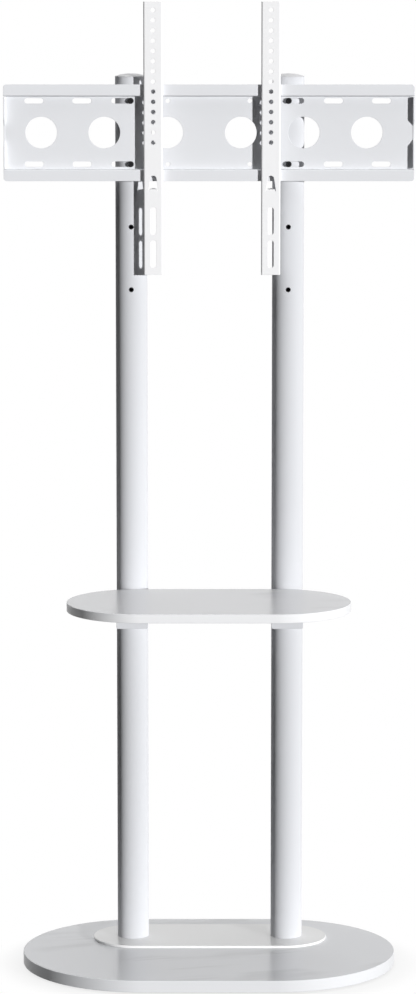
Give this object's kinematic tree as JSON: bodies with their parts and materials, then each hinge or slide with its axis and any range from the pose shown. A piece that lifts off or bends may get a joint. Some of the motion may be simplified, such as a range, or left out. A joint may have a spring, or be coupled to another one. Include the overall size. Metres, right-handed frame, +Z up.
{
  "type": "television floor stand with mount",
  "caption": "Free-standing television stand: round columns on a board foot carry a small shelf and a wall plate with hanging slotted arms that slide sideways.",
  "frame": {"origin": "on the floor, under the middle of the object's box, which is the middle of the base board", "axes": "+Z up, -Y is the front where the television hangs, +X to the right of someone who faces the front"},
  "size_m": [0.65, 0.388, 1.545],
  "materials": {
    "white_board": "white melamine-faced board, semi-matt",
    "white_paint": "white powder coat, fine satin",
    "bright_white_paint": "bright white powder coat, fine satin",
    "white_plastic": "white moulded plastic, satin",
    "black_steel": "black oxide, slightly glossy",
    "zinc_steel": "bright zinc plate",
    "black_rubber": "matt black rubber"
  },
  "bodies": {
    "stand": {"base_board": "white_board", "base_pad_1": "black_rubber", "base_pad_2": "black_rubber", "base_pad_3": "black_rubber", "base_pad_4": "black_rubber", "base_pad_5": "black_rubber", "base_pad_6": "black_rubber", "foot_plate": "white_paint", "left_column": "white_paint", "left_column_cap": "white_plastic", "left_foot_nut": "zinc_steel", "left_base_bolt_1": "zinc_steel", "left_base_bolt_2": "zinc_steel", "left_plate_nut_1": "black_steel", "left_plate_nut_2": "black_steel", "left_plate_nut_3": "black_steel", "left_plate_nut_4": "black_steel", "left_bracket_nut_1": "black_steel", "left_bracket_nut_2": "black_steel", "right_column": "white_paint", "right_column_cap": "white_plastic", "right_foot_nut": "zinc_steel", "right_base_bolt_1": "zinc_steel", "right_base_bolt_2": "zinc_steel", "right_plate_nut_1": "black_steel", "right_plate_nut_2": "black_steel", "right_plate_nut_3": "black_steel", "right_plate_nut_4": "black_steel", "right_bracket_nut_1": "black_steel", "right_bracket_nut_2": "black_steel", "wall_plate": "white_paint", "left_plate_bolt_1": "black_steel", "left_plate_bolt_2": "black_steel", "right_plate_bolt_1": "black_steel", "right_plate_bolt_2": "black_steel", "shelf_board": "white_board", "left_shelf_bracket": "white_paint", "left_bracket_bolt_1": "black_steel", "left_bracket_bolt_2": "black_steel", "left_shelf_screw_1": "zinc_steel", "left_shelf_screw_2": "zinc_steel", "right_shelf_bracket": "white_paint", "right_bracket_bolt_1": "black_steel", "right_bracket_bolt_2": "black_steel", "right_shelf_screw_1": "zinc_steel", "right_shelf_screw_2": "zinc_steel"},
    "left_arm": {"left_arm": "bright_white_paint"},
    "right_arm": {"right_arm": "bright_white_paint"},
    "left_lock_screw": {"left_lock_screw": "zinc_steel"},
    "right_lock_screw": {"right_lock_screw": "zinc_steel"}
  },
  "joints": [
    {"name": "left_arm_slide", "type": "slide", "parent": "stand", "child": "left_arm", "axis": [-1, 0, 0], "range_m": [-0.07, 0.2195]},
    {"name": "right_arm_slide", "type": "slide", "parent": "stand", "child": "right_arm", "axis": [1, 0, 0], "range_m": [-0.08, 0.2095]},
    {"name": "left_lock_screw_travel", "type": "slide", "parent": "left_arm", "child": "left_lock_screw", "axis": [0, 0, 1], "range_m": [0, 0.021]},
    {"name": "right_lock_screw_travel", "type": "slide", "parent": "right_arm", "child": "right_lock_screw", "axis": [0, 0, 1], "range_m": [0, 0.021]}
  ]
}
